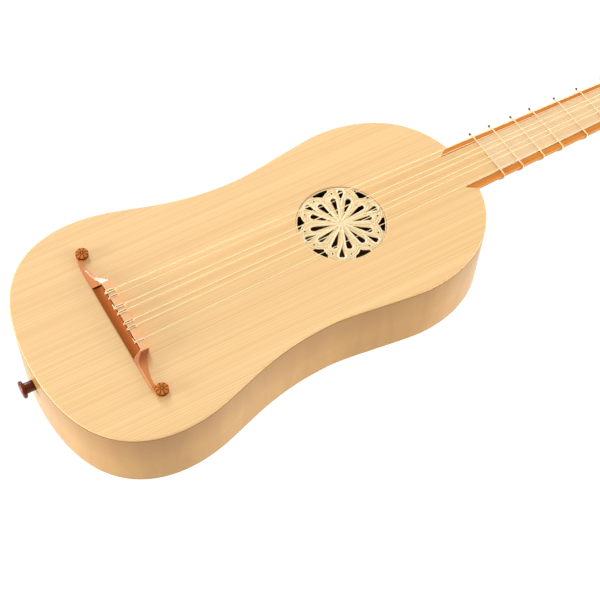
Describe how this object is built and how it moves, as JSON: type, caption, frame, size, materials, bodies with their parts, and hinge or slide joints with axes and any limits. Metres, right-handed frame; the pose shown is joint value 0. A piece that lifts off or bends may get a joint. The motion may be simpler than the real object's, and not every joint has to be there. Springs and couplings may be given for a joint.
{
  "type": "renaissance guitar",
  "caption": "Small waisted guitar with a carved rose, a low bridge with round flowers, tied gut strings and frets, friction pegs in a flat head, and a strap button.",
  "frame": {"origin": "on the back's outer face, under the bridge's front edge, on the centre line", "axes": "+X towards the head along the strings, +Y towards the bass side, +Z out of the soundboard"},
  "size_m": [0.7795, 0.2016, 0.071],
  "materials": {
    "soundboard": "satin, oiled spruce",
    "rose": "satin, pale cut pear",
    "sycamore": "glossy, varnished flamed sycamore",
    "neck": "satin, varnished sycamore",
    "inner_spruce": "bare spruce",
    "inner_wood": "bare willow",
    "bridge": "polished steamed pear",
    "edge_strips": "polished orange-brown plum",
    "fingerboard": "satin, pale maple",
    "fittings": "polished dark red-brown plum",
    "nut": "smooth bone",
    "gut": "smooth translucent gut"
  },
  "bodies": {
    "guitar": {"soundboard": "soundboard", "rose_tracery": "rose", "rose_ring": "inner_spruce", "back": "sycamore", "rib_bass": "sycamore", "rib_treble": "sycamore", "tail_block": "inner_wood", "neck_block": "inner_wood", "top_lining_bass": "inner_wood", "top_lining_treble": "inner_wood", "back_lining_bass": "inner_wood", "back_lining_treble": "inner_wood", "soundboard_bar_lower": "inner_spruce", "soundboard_bar_middle": "inner_spruce", "soundboard_bar_upper": "inner_spruce", "back_bar_lower": "inner_spruce", "back_bar_middle": "inner_spruce", "back_bar_upper": "inner_spruce", "end_button": "fittings", "bridge": "bridge", "neck": "neck", "edge_strip_bass": "edge_strips", "edge_strip_treble": "edge_strips", "fingerboard": "fingerboard", "headstock": "neck", "nut": "nut", "string_1": "gut", "string_2": "gut", "string_3": "gut", "string_4": "gut", "string_5": "gut", "string_6": "gut", "string_7": "gut"},
    "peg_1_turning": {"peg_1": "fittings", "winding_1": "gut"},
    "peg_2_turning": {"peg_2": "fittings", "winding_2": "gut"},
    "peg_3_turning": {"peg_3": "fittings", "winding_3": "gut"},
    "peg_4_turning": {"peg_4": "fittings", "winding_4": "gut"},
    "peg_5_turning": {"peg_5": "fittings", "winding_5": "gut"},
    "peg_6_turning": {"peg_6": "fittings", "winding_6": "gut"},
    "peg_7_turning": {"peg_7": "fittings", "winding_7": "gut"},
    "fret_1_tied": {"fret_1": "gut"},
    "fret_2_tied": {"fret_2": "gut"},
    "fret_3_tied": {"fret_3": "gut"},
    "fret_4_tied": {"fret_4": "gut"},
    "fret_5_tied": {"fret_5": "gut"},
    "fret_6_tied": {"fret_6": "gut"},
    "fret_7_tied": {"fret_7": "gut"},
    "fret_8_tied": {"fret_8": "gut"},
    "fret_9_tied": {"fret_9": "gut"}
  },
  "joints": [
    {"name": "peg_1_turn", "type": "hinge", "parent": "guitar", "child": "peg_1_turning", "pos_m": [0.57978, 0.0215, 0.0548], "axis": [0.1736, 0, 0.9848], "continuous": true},
    {"name": "peg_2_turn", "type": "hinge", "parent": "guitar", "child": "peg_2_turning", "pos_m": [0.60933, 0.023, 0.04959], "axis": [0.1736, 0, 0.9848], "continuous": true},
    {"name": "peg_3_turn", "type": "hinge", "parent": "guitar", "child": "peg_3_turning", "pos_m": [0.63887, 0.0245, 0.04438], "axis": [0.1736, 0, 0.9848], "continuous": true},
    {"name": "peg_4_turn", "type": "hinge", "parent": "guitar", "child": "peg_4_turning", "pos_m": [0.66251, 0, 0.04021], "axis": [0.1736, 0, 0.9848], "continuous": true},
    {"name": "peg_5_turn", "type": "hinge", "parent": "guitar", "child": "peg_5_turning", "pos_m": [0.63887, -0.0245, 0.04438], "axis": [0.1736, 0, 0.9848], "continuous": true},
    {"name": "peg_6_turn", "type": "hinge", "parent": "guitar", "child": "peg_6_turning", "pos_m": [0.60933, -0.023, 0.04959], "axis": [0.1736, 0, 0.9848], "continuous": true},
    {"name": "peg_7_turn", "type": "hinge", "parent": "guitar", "child": "peg_7_turning", "pos_m": [0.57978, -0.0215, 0.0548], "axis": [0.1736, 0, 0.9848], "continuous": true},
    {"name": "fret_1_slide", "type": "slide", "parent": "guitar", "child": "fret_1_tied", "axis": [1, 0, 0], "range_m": [-0.0025, 0.0025]},
    {"name": "fret_2_slide", "type": "slide", "parent": "guitar", "child": "fret_2_tied", "axis": [1, 0, 0], "range_m": [-0.0025, 0.0025]},
    {"name": "fret_3_slide", "type": "slide", "parent": "guitar", "child": "fret_3_tied", "axis": [1, 0, 0], "range_m": [-0.0025, 0.0025]},
    {"name": "fret_4_slide", "type": "slide", "parent": "guitar", "child": "fret_4_tied", "axis": [1, 0, 0], "range_m": [-0.0025, 0.0025]},
    {"name": "fret_5_slide", "type": "slide", "parent": "guitar", "child": "fret_5_tied", "axis": [1, 0, 0], "range_m": [-0.0025, 0.0025]},
    {"name": "fret_6_slide", "type": "slide", "parent": "guitar", "child": "fret_6_tied", "axis": [1, 0, 0], "range_m": [-0.0025, 0.0025]},
    {"name": "fret_7_slide", "type": "slide", "parent": "guitar", "child": "fret_7_tied", "axis": [1, 0, 0], "range_m": [-0.0025, 0.0025]},
    {"name": "fret_8_slide", "type": "slide", "parent": "guitar", "child": "fret_8_tied", "axis": [1, 0, 0], "range_m": [-0.0025, 0.0025]},
    {"name": "fret_9_slide", "type": "slide", "parent": "guitar", "child": "fret_9_tied", "axis": [1, 0, 0], "range_m": [-0.0025, 0.0025]}
  ]
}
